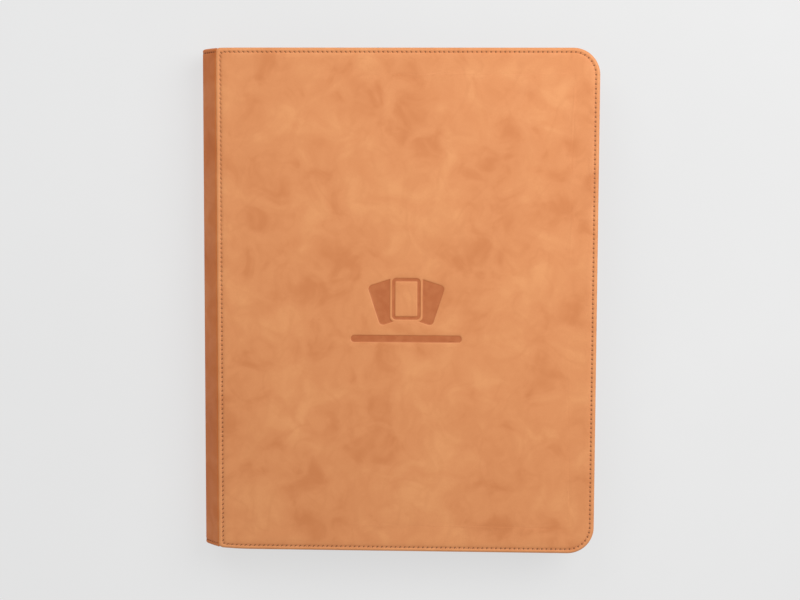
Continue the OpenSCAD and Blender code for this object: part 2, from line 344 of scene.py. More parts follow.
def smooth_by_angle(piece, degrees):
    """Smooth shading over edges blunter than this angle."""
    def change(bm):
        for edge in bm.edges:
            edge.smooth = len(edge.link_faces) == 2 and edge.calc_face_angle(0) < math.radians(degrees)
    edit_mesh(piece, change)
    return piece


def smoothstep(low, high, value):
    t = np.clip((value - low) / (high - low), 0, 1)
    return t * t * (3 - 2 * t)


def bump_at(value, centre, width):
    """1 at the centre, falling off like a bell of this width."""
    return np.exp(-((value - centre) / width) ** 2)


def waves(x, y, size, count, seed):
    """A gentle random swell from -1 to 1 whose waves are about this long."""
    random = np.random.RandomState(seed)
    total = np.zeros(np.shape(x))
    for _ in range(count):
        angle, phase = random.uniform(0, 2 * math.pi, 2)
        turn = 2 * math.pi / (size * random.uniform(0.7, 1.6))
        total += np.sin(turn * (x * math.cos(angle) + y * math.sin(angle)) + phase)
    return total / count


# ---- A cover's outline ----

def stretch_lengths(inset):
    """Lengths of the outline's stretches: bottom, corner, fore-edge, corner, top and crease."""
    arc = (CORNER_R - inset) * math.pi / 2
    level = FORE_X - CORNER_R - CREASE_X - inset
    return np.array([level, arc, 2 * (HALF_H - CORNER_R), arc, level, 2 * (HALF_H - inset)])


def outline(where, inset, ease=True):
    """Points on the outline moved inwards by inset. where counts stretches gone by."""
    k = np.clip(where.astype(int), 0, 5)
    f = where - k
    r, end, left = CORNER_R - inset, HALF_H - inset, CREASE_X + inset
    cx, cy = FORE_X - CORNER_R, HALF_H - CORNER_R
    angle = np.where(k == 1, f - 1, f) * math.pi / 2
    arc_x, arc_y = cx + r * np.cos(angle), r * np.sin(angle)
    on = [k == n for n in range(5)]
    x = np.select(on, [left + f * (cx - left), arc_x, FORE_X - inset, arc_x, cx + f * (left - cx)], left)
    y = np.select(on, [-end, arc_y - cy, (2 * f - 1) * cy, arc_y + cy, end], end - 2 * f * end)
    if ease:
        near_x, near_y = 1 - (x - left) / SQUARE_ROUND, 1 - (end - np.abs(y)) / SQUARE_ROUND
        corner = np.clip(near_x, 0, 1) * np.clip(near_y, 0, 1)
        x, y = x + SQUARE_PULL * corner, y - np.sign(y) * SQUARE_PULL * corner
        near = np.clip(1 - (x - CREASE_X) / EASE_LENGTH, 0, 1) ** 2
        outer = smoothstep(HALF_H - EASE_DEPTH, HALF_H - EDGE_ROLL, np.abs(y))
        y = y + near * outer * np.where(y < 0, EASE_BOTTOM, -EASE_TOP)
    return np.stack([x, y], 1)


def outward(where):
    """Outward normals at places round the outline."""
    k = np.clip(where.astype(int), 0, 5)
    f = where - k
    angle = np.select([k == n for n in range(5)], [-1, f - 1, 0, f, 1], 2) * math.pi / 2
    return np.stack([np.cos(angle), np.sin(angle)], 1)


def stitch_places(per_stitch):
    """Places round the stitch line, afresh from the crease, and how far into its stitch each is."""
    run = np.concatenate([[0], np.cumsum(stretch_lengths(STITCH_INSET))])
    found = []
    for first, last in ((0, 5), (5, 6)):
        length = run[last] - run[first]
        count = per_stitch * round(length / STITCH_PITCH)
        found.append(np.interp(run[first] + np.arange(count) * length / count, run, np.arange(7)))
    where = np.concatenate(found)
    return where, np.arange(len(where)) % per_stitch / per_stitch


def even_places(inset, spacing):
    """Places round the whole outline at about this spacing."""
    counts = [max(2, round(length / spacing)) for length in stretch_lengths(inset)]
    return np.concatenate([k + np.arange(count) / count for k, count in enumerate(counts)])


# ---- The mark ----

def rounded_box(x, y, half, r):
    """Signed distance to a rectangle with round corners, centred on the origin."""
    qx, qy = np.abs(x) - half[0] + r, np.abs(y) - half[1] + r
    return np.hypot(np.maximum(qx, 0), np.maximum(qy, 0)) + np.minimum(np.maximum(qx, qy), 0) - r


def mark_distance(x, y):
    """Signed distance to the debossed mark, negative inside it."""
    x, y = x - MARK_X, y - MARK_Y
    hole = rounded_box(x, y, CARD_HALF - MARK_LINE, CARD_R - MARK_LINE)
    found = np.maximum(rounded_box(x, y, CARD_HALF, CARD_R), -hole)
    clear = rounded_box(x, y, CARD_HALF + MARK_LINE / 2, CARD_R)
    for side in (-1, 1):
        dx, dy = x - side * CARD_SPREAD, y + CARD_DROP
        cos, sin = math.cos(side * CARD_TILT), math.sin(side * CARD_TILT)
        tilted = rounded_box(dx * cos - dy * sin, dx * sin + dy * cos, CARD_HALF, CARD_R)
        found = np.minimum(found, np.maximum(tilted, -clear))
    return np.minimum(found, rounded_box(x, y + MARK_Y - BAR_Y, BAR_HALF, BAR_R))


# ---- Materials ----

class Look:
    """One procedural material, built node by node."""

    def __init__(self, name, **sockets):
        self.material = bpy.data.materials.new(name)
        self.material.use_nodes = True
        self.tree = self.material.node_tree
        self.shader = self.tree.nodes["Principled BSDF"]
        for socket, value in sockets.items():
            self.shader.inputs[socket.replace("_", " ")].default_value = value
        self.place = self.node("ShaderNodeTexCoord").outputs["Object"]
        self.relief = None

    def node(self, kind, **settings):
        """A new node. Each setting is one of its options or one of its sockets."""
        made = self.tree.nodes.new(kind)
        for key, value in settings.items():
            if hasattr(made, key):
                setattr(made, key, value)
            else:
                self.feed(made.inputs[key.replace("_", " ")], value)
        return made

    def feed(self, socket, value):
        """Links another node to a socket, or sets it to a number, vector or colour."""
        if isinstance(value, bpy.types.NodeSocket):
            self.tree.links.new(value, socket)
        else:
            socket.default_value = (*value, 1) if socket.type == "RGBA" else value

    def stretched(self, scale, turn=0.0):
        """The place with each axis scaled, turned about Z first."""
        made = self.node("ShaderNodeMapping", Vector=self.place, Rotation=(0, 0, turn), Scale=scale)
        return made.outputs["Vector"]

    def noise(self, size, detail=2.0, roughness=0.5, distortion=0.0, vector=None):
        """Noise whose blotches are about this many metres across."""
        return self.node("ShaderNodeTexNoise", Vector=vector or self.place, Scale=1 / size, Detail=detail,
                         Roughness=roughness, Distortion=distortion).outputs["Fac"]

    def cells(self, size, feature="F1"):
        """Distance within cells of about this size."""
        made = self.node("ShaderNodeTexVoronoi", feature=feature, Vector=self.place, Scale=1 / size)
        return made.outputs["Distance"]

    def bands(self, size, vector, direction="X"):
        """Waves at this scale along one axis."""
        made = self.node("ShaderNodeTexWave", bands_direction=direction, Vector=vector, Scale=1 / size)
        return made.outputs["Fac"]

    def value(self, name):
        """A number stored on the mesh."""
        return self.node("ShaderNodeAttribute", attribute_name=name).outputs["Fac"]

    def maths(self, operation, a, b=0.0):
        made = self.node("ShaderNodeMath", operation=operation)
        for socket, value in zip(made.inputs, (a, b)):
            self.feed(socket, value)
        return made.outputs[0]

    def span(self, value, low, high, out_low=0.0, out_high=1.0):
        """value from low to high, mapped smoothly to out_low to out_high and clamped."""
        made = self.node("ShaderNodeMapRange", interpolation_type="SMOOTHSTEP")
        for socket, number in zip(made.inputs, (value, low, high, out_low, out_high)):
            self.feed(socket, number)
        return made.outputs["Result"]

    def mix(self, share, a, b):
        """Colour a, with this share of colour b."""
        made = self.node("ShaderNodeMix", data_type="RGBA")
        for index, value in ((0, share), (6, a), (7, b)):
            self.feed(made.inputs[index], value)
        return made.outputs[2]

    def bump(self, height, distance):
        """Adds a relief of this depth in metres on top of the ones before."""
        made = self.node("ShaderNodeBump", Height=height, Distance=distance, Strength=1.0)
        if self.relief is not None:
            self.feed(made.inputs["Normal"], self.relief)
        self.relief = made.outputs["Normal"]

    def finish(self, colour, roughness):
        for socket, value in (("Base Color", colour), ("Roughness", roughness), ("Normal", self.relief)):
            self.feed(self.shader.inputs[socket], value)
        return self.material


def linear(*colours):
    """Colours as a screen shows them, from 0 to 255, in the renderer's own linear values."""
    return [tuple(((c / 255 + 0.055) / 1.055) ** 2.4 for c in colour) for colour in colours]


def leather_look(name, deep, middle, light, shadow, sheen=0.1, gloss=0.3, marked=False):
    """Two-tone leatherette: cloudy blotches, faint crease lines in painted shade, fine pores, burnished
    marks, edges lighter from rubbing and painted highlight, and stitch holes in painted shade.
    """
    look = Look(name, Sheen_Weight=sheen, Sheen_Roughness=0.45, Specular_IOR_Level=gloss)
    deep, middle, light, shadow = linear(deep, middle, light, shadow)
    clouds = look.noise(46 * MM, detail=3, distortion=0.4)
    blotches = look.noise(19 * MM, detail=3, distortion=0.7)
    streaks = look.noise(26 * MM, roughness=0.45, distortion=0.9, vector=look.stretched((1.0, 0.8, 1.0), 0.5))
    tone = look.maths("ADD", look.maths("MULTIPLY", clouds, 0.5), look.maths("MULTIPLY", blotches, 0.5))
    colour = look.mix(look.span(tone, 0.33, 0.5), deep, middle)
    colour = look.mix(look.span(tone, 0.48, 0.68), colour, light)
    # Faint dark crease lines: painted shade of creases, with no relief of their own under them
    crease_shade = look.span(look.maths("ABSOLUTE", look.maths("SUBTRACT", streaks, 0.5)), 0.0, 0.09, 1.0, 0.0)
    colour = look.mix(look.maths("MULTIPLY", crease_shade, 0.2), colour, deep)
    fine = look.noise(1.1 * MM, detail=3, roughness=0.7)
    colour = look.mix(look.span(fine, 0.35, 0.7, 0.0, 0.14), colour, deep)
    if marked:
        mark = look.span(look.value("mark"), -0.22 * MM, 0.16 * MM, 1.0, 0.0)
        worn = look.span(look.noise(6 * MM, detail=3), 0.3, 0.7, 0.8, 1.0)
        colour = look.mix(look.maths("MULTIPLY", mark, worn), colour, shadow)
    # Edges lighter: partly rubbed wear, partly a painted highlight along the crest of the edge roll
    rubbed_and_highlit = look.maths("MULTIPLY", look.value("edge"), look.span(fine, 0.3, 0.65, 0.1, 0.5))
    colour = look.mix(rubbed_and_highlit, colour, light)
    # Stitch holes darkened: painted shade in the dimples where the thread dives into the leather
    hole_shade = look.span(look.value("hole"), 0.25, 0.6)
    colour = look.mix(hole_shade, colour, tuple(c * 0.42 for c in deep))
    look.bump(look.span(look.cells(0.75 * MM, "DISTANCE_TO_EDGE"), 0.0, 0.16), 0.02 * MM)
    look.bump(look.noise(4 * MM, detail=3, distortion=0.5), 0.05 * MM)
    return look.finish(colour, look.span(blotches, 0.35, 0.65, 0.64, 0.52))


def thread_look(name, dark, light):
    """Twisted polyester thread."""
    look = Look(name, Specular_IOR_Level=0.3)
    dark, light = linear(dark, light)
    twist = look.bands(2.2 * MM, look.stretched((1, 1, 1), 0.6))
    colour = look.mix(look.span(twist, 0.2, 0.8), dark, light)
    colour = look.mix(look.span(look.noise(8 * MM), 0.3, 0.7, 0.0, 0.3), colour, dark)
    look.bump(twist, 0.06 * MM)
    return look.finish(colour, 0.6)


def lining_look():
    """Brushed microfibre: short nap lying in soft patches."""
    look = Look("lining", Sheen_Weight=0.6, Sheen_Roughness=0.4, Specular_IOR_Level=0.2)
    dark, light = linear((24, 22, 22), (52, 48, 47))
    nap = look.noise(0.9 * MM, detail=4, roughness=0.75)
    patches = look.noise(28 * MM, detail=3, distortion=0.8)
    tone = look.maths("ADD", look.maths("MULTIPLY", nap, 0.65), look.maths("MULTIPLY", patches, 0.35))
    look.bump(nap, 0.12 * MM)
    colour = look.mix(look.span(tone, 0.38, 0.62), dark, light)
    return look.finish(colour, look.span(patches, 0.3, 0.7, 0.95, 0.82))


def tape_look():
    """Herringbone twill of a zip tape, woven along the tape's own run."""
    look = Look("zip_tape", Sheen_Weight=0.3, Specular_IOR_Level=0.25)
    dark, light, dust = linear((74, 44, 27), (112, 71, 45), (58, 34, 22))
    woven = look.node("ShaderNodeCombineXYZ", X=look.value("run"), Y=look.value("across"))
    look.place = woven.outputs["Vector"]
    left, right = (look.bands(1.6 * MM, look.stretched((1, 1, 1), turn)) for turn in (0.7, -0.7))
    rows = look.bands(9 * MM, look.place, "Y")
    turned = look.maths("MULTIPLY", look.span(rows, 0.48, 0.52), look.maths("SUBTRACT", right, left))
    twill = look.maths("ADD", left, turned)
    fuzz = look.noise(0.4 * MM, detail=3)
    colour = look.mix(look.span(twill, 0.1, 0.9), dark, light)
    colour = look.mix(look.span(fuzz, 0.3, 0.7, 0.0, 0.35), colour, dust)
    look.bump(twill, 0.09 * MM)
    look.bump(fuzz, 0.04 * MM)
    return look.finish(colour, 0.85)


def plain_look(name, dark, light, size, roughness, relief, **sockets):
    """A material with slight blotches of colour, gloss and relief."""
    look = Look(name, **sockets)
    dark, light = linear(dark, light)
    blotches = look.noise(size, detail=4, roughness=0.6)
    speckle = look.noise(size / 12, detail=3, roughness=0.6)
    colour = look.mix(look.span(blotches, 0.35, 0.65), dark, light)
    colour = look.mix(look.span(speckle, 0.4, 0.75, 0.0, 0.3), colour, dark)
    look.bump(speckle, relief)
    return look.finish(colour, look.span(blotches, 0.3, 0.7, roughness * 1.12, roughness * 0.85))


def page_look():
    """Black polypropylene under clear pocket film, whose ripples show in its gloss."""
    look = Look("page_film", Specular_IOR_Level=0.5)
    sheet, filmed, scuffed, welded = linear((27, 27, 29), (46, 48, 52), (84, 87, 92), (70, 72, 76))
    film, weld = look.value("film"), look.value("weld")
    ripples = look.noise(16 * MM, distortion=1.2, vector=look.stretched((1.0, 0.4, 1.0)))
    scuffs = look.noise(5 * MM, detail=5, roughness=0.7, vector=look.stretched((1.0, 0.15, 1.0), 0.4))
    colour = look.mix(film, sheet, filmed)
    colour = look.mix(look.span(scuffs, 0.55, 0.75, 0.0, 0.25), colour, scuffed)
    colour = look.mix(look.maths("MULTIPLY", weld, 0.5), colour, welded)
    look.bump(ripples, 0.5 * MM)
    look.bump(look.maths("MULTIPLY", weld, look.span(look.cells(0.9 * MM), 0.2, 0.5)), 0.12 * MM)
    return look.finish(colour, look.mix(film, (0.5, 0.5, 0.5), (0.16, 0.16, 0.16)))


LEATHER = leather_look("cover_leather", (207, 129, 77), (220, 144, 91), (228, 155, 100), (183, 101, 55),
                       sheen=0.04, marked=True)
# The spine's leather and thread are deeper and darker than the cover's: partly the spine strip's own tone,
# partly painted shade for its left-facing flank
SPINE_LEATHER = leather_look("spine_leather", (203, 109, 51), (214, 120, 59), (222, 131, 69), (130, 64, 30),
                             sheen=0.03, gloss=0.18)
PULL_LEATHER = leather_look("pull_leather", (176, 102, 58), (196, 122, 74), (212, 142, 92), (130, 66, 32))
THREAD = thread_look("thread", (196, 128, 82), (224, 156, 106))
SPINE_THREAD = thread_look("spine_thread", (170, 94, 48), (198, 116, 64))
LINING = lining_look()
TAPE = tape_look()
FOAM = plain_look("foam", (206, 200, 184), (226, 221, 206), 6 * MM, 0.9, 0.2 * MM)
BOARD = plain_look("board", (128, 120, 106), (156, 148, 132), 9 * MM, 0.92, 0.08 * MM)
COIL = plain_look("zip_coil", (44, 26, 16), (70, 44, 29), 4 * MM, 0.42, 0.01 * MM)
METAL = plain_look("zip_metal", (98, 82, 58), (154, 134, 100), 5 * MM, 0.38, 0.01 * MM, Metallic=1.0)
BINDING = plain_look("page_binding", (22, 22, 23), (38, 38, 40), 7 * MM, 0.55, 0.03 * MM)
# The floor glows: its emission is painted light that keeps it an even pale grey, fades the shadows on it and
# lights the binder's underside a little
FLOOR = plain_look("floor", (112, 112, 112), (115, 115, 115), 300 * MM, 0.95, 0.0, Specular_IOR_Level=0.1,
                   Emission_Color=(1.0, 1.0, 1.0, 1), Emission_Strength=0.635)
PAGE = page_look()


# ---- Stitching ----

def stitch_template():
    """One stitch of unit length along X: a thread that rises out of one hole and dives into the next."""
    along = np.linspace(-0.5, 0.5, STITCH_RINGS)
    lift = STITCH_RISE - (STITCH_RISE + STITCH_DIVE) * (2 * np.abs(along)) ** 2.6
    thick = THREAD_R * (1 - 0.35 * (2 * np.abs(along)) ** 4)
    angles = np.arange(STITCH_SIDES) * 2 * math.pi / STITCH_SIDES
    side = thick[:, None] * np.cos(angles)
    up = lift[:, None] + thick[:, None] * np.sin(angles) * 0.85
    return np.stack([np.broadcast_to(along[:, None], side.shape), side, up], -1).reshape(-1, 3)


def add_stitches(shape, starts, ends, ups, size=1.0):
    """Adds a stitch between each start and end, standing towards ups, each a little askew."""
    template = stitch_template() * [1, size, size]
    faces = tube_faces(STITCH_RINGS, STITCH_SIDES)
    for start, end, up in zip(starts, ends, np.broadcast_to(ups, starts.shape)):
        ahead = (end - start) * STITCH_FILL
        side = np.cross(up, ahead)
        side /= np.linalg.norm(side)
        side = side + RANDOM.uniform(-0.06, 0.06) * ahead / np.linalg.norm(ahead)
        points = template[:, :1] * ahead + template[:, 1:2] * side + template[:, 2:] * up
        shape.add((start + end) / 2 + points, faces)


def cover_thread(side, body, face_z, facing):
    """The lockstitch round a cover, seen on its outer face and on its inner one."""
    shape = Shape()
    where, _ = stitch_places(1)
    path = outline(where, STITCH_INSET)
    following = np.roll(path, -1, 0)
    following[np.searchsorted(where, 5.0) - 1] = outline(np.array([5.0]), STITCH_INSET)[0]
    for depth, up in ((STITCH_VALLEY, facing), (COVER_T + 0.45 * MM, -facing)):
        lift = np.full((len(path), 1), face_z - facing * depth)
        add_stitches(shape, np.hstack([path, lift]), np.hstack([following, lift]), (0.0, 0.0, up))
    place(shape.piece(side + "_cover_thread", THREAD), body, "thread", side + "_cover_stitching")


# ---- Covers ----

def hole_at(phase):
    """How far a place is into the dimple between two stitches, from 0 to 1."""
    return (0.5 + 0.5 * np.cos(2 * math.pi * phase)) ** 2


def skin_rows():
    """(inset, depth below the outer face) from the inside of the turned-in edge round to the panel."""
    inner = COVER_T - LINING_T
    tuck = 0.25 * MM
    rows = [
        (SKIN_T, SKIN_T), (SKIN_T, inner), (TURN_IN - tuck, inner), (TURN_IN, COVER_T - tuck),
        (TURN_IN - tuck, COVER_T), (2 * tuck, COVER_T), (tuck / 4, COVER_T - tuck),
        (0, (COVER_T + EDGE_ROLL) / 2),
    ]
    rows += [(EDGE_ROLL * (1 - math.cos(a)), EDGE_ROLL * (1 - math.sin(a))) for a in ROLL_ANGLES]
    return np.array(rows + FACE.tolist())


def graded(low, high, fine_low, fine_high, fine, coarse):
    """Grid lines from low to high, closer together between fine_low and fine_high."""
    stretches = (fine_low - low, coarse), (fine_high - fine_low, fine), (high - fine_high, coarse)
    before, within, after = (max(1, round(length / step)) for length, step in stretches)
    return np.concatenate([
        np.linspace(low, fine_low, before, endpoint=False),
        np.linspace(fine_low, fine_high, within, endpoint=False),
        np.linspace(fine_high, high, after + 1),
    ])


def panel_grid(fine):
    """Points of the flat middle of a cover, and its edge as a loop with how far round each point is."""
    low_x, high_x = CREASE_X + PANEL_INSET, FORE_X - PANEL_INSET
    end = HALF_H - PANEL_INSET
    xs = graded(low_x, high_x, MARK_X - MARK_HALF[0], MARK_X + MARK_HALF[0], fine, PANEL_COARSE)
    ys = graded(-end, end, -MARK_HALF[1], MARK_HALF[1] - 6 * MM, fine, PANEL_COARSE)
    x, y = np.meshgrid(xs, ys)
    across, up = (xs - low_x) / (high_x - low_x), (ys + end) / (2 * end)
    places = np.concatenate([1.5 * across, 1.5 + 2 * up[1:], 3.5 + 1.5 * (1 - across[-2::-1]),
                             5 + (1 - up[-2:0:-1])])
    shape = len(ys), len(xs)
    return x.ravel(), y.ravel(), grid_faces(*shape), grid_rim(*shape), places


def cover_leather(side, body, face_z, facing, marked):
    """The padded leatherette of a cover: turned-in edge, edge roll, puckered stitch line and soft panel."""
    rows = skin_rows()
    where, phase = stitch_places(STITCH_SAMPLES)
    count = len(where)
    hole = hole_at(phase)
    far = MARK_HALF[0]
    rings, holes, edges = [], [], []
    for k, (inset, depth) in enumerate(rows):
        xy = outline(where, inset)
        on_face = k >= len(rows) - len(FACE)
        if depth <= EDGE_ROLL and inset < EDGE_ROLL:
            depth = np.where(where > 5, CREASE_SHARE * depth, depth)
        depth = np.where(depth < 0, depth * marked, depth)
        pucker = bump_at(inset, STITCH_INSET, PUCKER_W) * on_face
        scallop = bump_at(inset, EDGE_ROLL, SCALLOP_W) * (k >= len(rows) - len(FACE) - 2)
        swell = waves(*xy.T, SWELL_SIZE, SWELL_WAVES, SWELL_SEED) * SWELL
        swell *= smoothstep(3 * MM, 12 * MM, inset) * marked * on_face
        z = face_z - facing * (depth + hole * (PUCKER * pucker + SCALLOP * scallop) - swell)
        rings.append(np.column_stack([xy, z]))
        # hole drives both the dimples' depth and the painted shade of the holes in the leather's colour
        holes.append(hole * pucker)
        # edge marks the crest of the edge roll, which the leather paints lighter: partly wear, partly painted
        # highlight
        edges.append(np.full(count, scallop))
    x, y, grid, loop, places = panel_grid(PANEL_FINE if marked else PANEL_PLAIN)
    distance = mark_distance(x, y) if marked else np.full(len(x), far)
    swell = waves(x, y, SWELL_SIZE, SWELL_WAVES, SWELL_SEED) * SWELL
    sunk = MARK_DEPTH * smoothstep(0.25 * MM, -0.25 * MM, distance)
    sunk += MARK_DISH * smoothstep(3 * MM, 0, distance)
    panel = np.column_stack([x, y, face_z + facing * marked * (swell - sunk)])
    first = len(rows) * count
    faces = grid_faces(len(rows), count, wrap=True)
    faces += zip_loops(np.arange(first - count, first), np.array(loop) + first, where, places)
    faces += [tuple(i + first for i in face) for face in grid] + [tuple(range(count))]
    shape = Shape()
    shape.add(np.vstack(rings + [panel]), faces, hole=np.concatenate(holes + [0 * x]),
              edge=np.concatenate(edges + [0 * x]), mark=np.concatenate([np.full(first, far), distance]))
    made = place(shape.piece(side + "_cover_leather", LEATHER), body, "cover_leather", side + "_cover_skin")


def cover_layers(side, body, face_z, facing):
    """Foam, board and lining of one cover, whose outer face is at face_z and faces facing."""
    where = even_places(TURN_IN, 3 * MM)
    eased = outline(where, 0) - outline(where, 0, False)

    def layer(piece, node, look, slot, rows, ease):
        rings = [np.pad(outline(where, inset, False) + ease, ((0, 0), (0, 1)),
                        constant_values=face_z - facing * depth) for inset, depth in rows]
        shape = Shape()
        add_tube(shape, rings)
        made = smooth_by_angle(shape.piece(side + "_cover_" + piece, look), 40)
        return place(made, body, slot, side + "_cover_" + node)

    rim, soft = SKIN_T + 0.05 * MM, 0.3 * MM
    foam_end, board_end = SKIN_T + FOAM_T, COVER_T - LINING_T
    foam = layer("padding", "foam", FOAM, "foam", [
        (rim + 2 * soft, rim), (rim + soft, rim + 0.1 * MM), (rim, rim + soft), (rim, foam_end),
    ], eased)
    layer("stiffener", "board", BOARD, "board", [
        (rim + soft, foam_end), (rim, foam_end + soft), (rim, board_end - soft), (rim + soft, board_end),
    ], eased)
    edge = TURN_IN + 0.05 * MM
    lining = layer("fabric", "lining", LINING, "lining", [
        (edge, board_end), (edge, COVER_T - soft), (edge + 0.1 * MM, COVER_T - 0.1 * MM),
        (edge + soft, COVER_T), (edge + 6 * MM, COVER_T + 0.06 * MM), (edge + 14 * MM, COVER_T),
    ], 0)


# ---- Spine ----

def spine_section(along, inset=0.0, limit=SPINE_EDGE):
    """Points (x, z) and outward normals of the spine's section, at distances from the front crease."""
    turn = FLANK_TILT * np.clip(1 - 2 * (along - FLANK_L) / NOSE_L, -1, 1)
    normal = np.stack([-np.cos(turn), np.sin(turn)], 1)
    nose = np.array([NOSE_X, MID_Z]) + NOSE_R * normal
    left = np.minimum(along, SECTION_L - along)
    share = np.clip(left / FLANK_L, 0, 1)[:, None]
    flank = FLANK_TOP + share * (FLANK_END - FLANK_TOP)
    half = np.where(along < SECTION_L / 2, 1.0, -1.0)
    flank[:, 1] = MID_Z + half * (flank[:, 1] - MID_Z)
    rise = FLANK_PUFF * np.sin(math.pi * share[:, 0])
    rise -= CREASE_DROP * np.clip(1 - left / CREASE_ROLL, 0, 1) ** 2
    points = np.where(share < 1, flank, nose) + normal * (rise - inset)[:, None]
    # What would pass the limit slides back along the flank
    over = np.maximum(points[:, 0] - limit, 0)
    points -= np.column_stack([over, -over * normal[:, 0] / np.where(over > 0, normal[:, 1], 1)])
    return points, normal


def spine_stations():
    """(distance from the end, inset, scale) from the middle of an end wall out over its roll and along."""
    wall = [(0, SPINE_ROLL, scale) for scale in (0.0, 0.3, 0.6, 0.85)]
    roll = [(EDGE_ROLL * (1 - math.cos(a)), SPINE_ROLL * (1 - math.sin(a)), 1) for a in ROLL_ANGLES]
    return wall + roll + [(d, max(depth, 0), 1) for d, depth in FACE]


def spine_grid(extra_inset, samples):
    """Rows of points of the spine's surface along Y, and how much of a hole and an edge each is."""
    along = np.linspace(0, SECTION_L, samples)
    near = spine_stations()
    middle = np.linspace(FACE[-1, 0] - HALF_H, HALF_H - FACE[-1, 0], 48)[1:-1]
    stations = [(d - HALF_H, d, inset, scale) for d, inset, scale in near]
    stations += [(y, HALF_H, 0.0, 1) for y in middle]
    stations += [(HALF_H - d, d, inset, scale) for d, inset, scale in reversed(near)]
    hole = hole_at(along / SECTION_L * SPINE_STITCHES % 1)
    flank = np.clip(1 - np.minimum(along, SECTION_L - along) / FLANK_L, 0, 1)
    limit = SPINE_EDGE - 0.6 * extra_inset
    centre = np.array([limit, MID_Z])
    rows, holes, edges = [], [], []
    for y, d, inset, scale in stations:
        pucker = bump_at(d, STITCH_INSET, SPINE_PUCKER_W)
        section, normal = spine_section(along, inset + extra_inset, limit)
        section = section - normal * (PUCKER * hole * pucker)[:, None]
        section = centre + (section - centre) * scale
        section[:, 0] = np.minimum(section[:, 0], limit)
        flaps = section[[0, -1]]
        flaps[:, 0] = limit
        flaps[:, 1] -= np.clip(flaps[:, 1] - MID_Z, -SPINE_FLAP, SPINE_FLAP)
        section = np.vstack([flaps[:1], section, flaps[1:]])
        ease = (EASE_BOTTOM if y < 0 else EASE_TOP) * smoothstep(EASE_DEPTH, EDGE_ROLL, d)
        eased = y - np.sign(y) * (min(extra_inset, abs(y)) + ease * flank)
        rows.append(at_y(section, np.pad(eased, 1, "edge")))
        # hole darkens the whole stitch groove a little and the holes more, as painted shade
        holes.append(np.pad((0.2 + 0.8 * hole) * pucker, 1))
        # edge lightens the spine's end rolls: partly wear, partly painted highlight
        edges.append(np.full(samples + 2, 0.3 * bump_at(d, EDGE_ROLL, SCALLOP_W)))
    return np.vstack(rows), len(stations), np.concatenate(holes), np.concatenate(edges)


def place_squashed(piece, slot, node):
    """Places a soft piece of the spine on the spine's body, with a mesh of its own."""
    place(piece, "spine", slot, node)
    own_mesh(piece)


def spine_leather():
    """The leather of the spine as a closed shell, whose long edges fold in at the creases."""
    samples = SPINE_SAMPLES * SPINE_STITCHES + 1
    outer, stations, hole, edge = spine_grid(0, samples)
    inner = spine_grid(SPINE_SHELL * SPINE_SKIN_T, samples)[0]
    count, columns = len(outer), samples + 2
    faces = grid_faces(stations, columns)
    faces += flipped(faces, count)
    for column in (0, columns - 1):
        rim = [column + k * columns for k in range(stations)]
        faces += [(a, b, b + count, a + count) for a, b in zip(rim, rim[1:])]
    shape = Shape()
    shape.add(np.vstack([outer, inner]), faces, hole=np.concatenate([hole, 0 * hole]),
              edge=np.concatenate([edge, 0 * edge]))
    made = shape.piece("spine_leather", SPINE_LEATHER, recalculate=False)

    def clean(bm):
        bmesh.ops.remove_doubles(bm, verts=bm.verts, dist=0.002 * MM)
        bmesh.ops.dissolve_degenerate(bm, edges=bm.edges, dist=0.002 * MM)
        bmesh.ops.recalc_face_normals(bm, faces=bm.faces)

    edit_mesh(made, clean)
    smooth_by_angle(made, 50)
    place_squashed(made, "spine_leather", "spine_skin")


def spine_turn_in(name, end):
    """The spine's leather turned in round one end of the board, up to its lining."""
    lo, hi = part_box("spine_board")
    inner_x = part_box("spine_lining")[1].x
    thick, gap, soft = 0.5 * MM, 0.06 * MM, 0.15 * MM
    back, face, edge = lo.x - gap - thick, lo.x - gap, hi.y + gap
    deep, tip = hi.y - 20 * MM, HALF_H - 1.2 * MM
    profile = [(back, deep), (back, tip - soft), (back + soft, tip), (face - soft, tip), (face, tip - soft),
               (face + soft, edge + thick + soft), (face + 2 * soft, edge + thick),
               (inner_x - soft, edge + thick), (inner_x, edge + thick - soft), (inner_x, edge),
               (face, edge), (face, deep)]
    half = (hi.z - lo.z) / 2 - 0.1 * MM
    shape = Shape()
    add_tube(shape, [[(x, end * y, MID_Z + side * half) for x, y in profile] for side in (-1, 1)])
    place(smooth_by_angle(shape.piece(name, SPINE_LEATHER), 50), "spine", "spine_leather")


def spine_padding():
    """The foam that rounds the spine."""
    along = np.linspace(0, SECTION_L, 40)
    end = HALF_H - SPINE_SKIN_T - EDGE_ROLL
    near = [(0, 1), (0.5 * MM, 0.2), (2 * MM, 0)]
    stations = [(d - end, extra) for d, extra in near] + [(end - d, extra) for d, extra in reversed(near)]
    shape = Shape()
    add_tube(shape, [at_y(spine_section(along, SPINE_SKIN_T + extra * MM, SPINE_EDGE - 0.8 * MM)[0], y)
                     for y, extra in stations])
    made = shape.piece("spine_filling", FOAM)
    place_squashed(made, "foam", "spine_padding")


def spine_thread():
    """The stitch lines that carry on over the spine's two ends."""
    shape = Shape()
    along = np.linspace(0, SECTION_L, SPINE_STITCHES + 1)
    section, _ = spine_section(along, STITCH_VALLEY)
    _, ups = spine_section((along[1:] + along[:-1]) / 2)
    for y in (STITCH_INSET - HALF_H, HALF_H - STITCH_INSET):
        line = at_y(section, y)
        add_stitches(shape, line[:-1], line[1:], at_y(ups, 0))
    place_squashed(shape.piece("spine_thread", SPINE_THREAD), "thread", "spine_stitching")


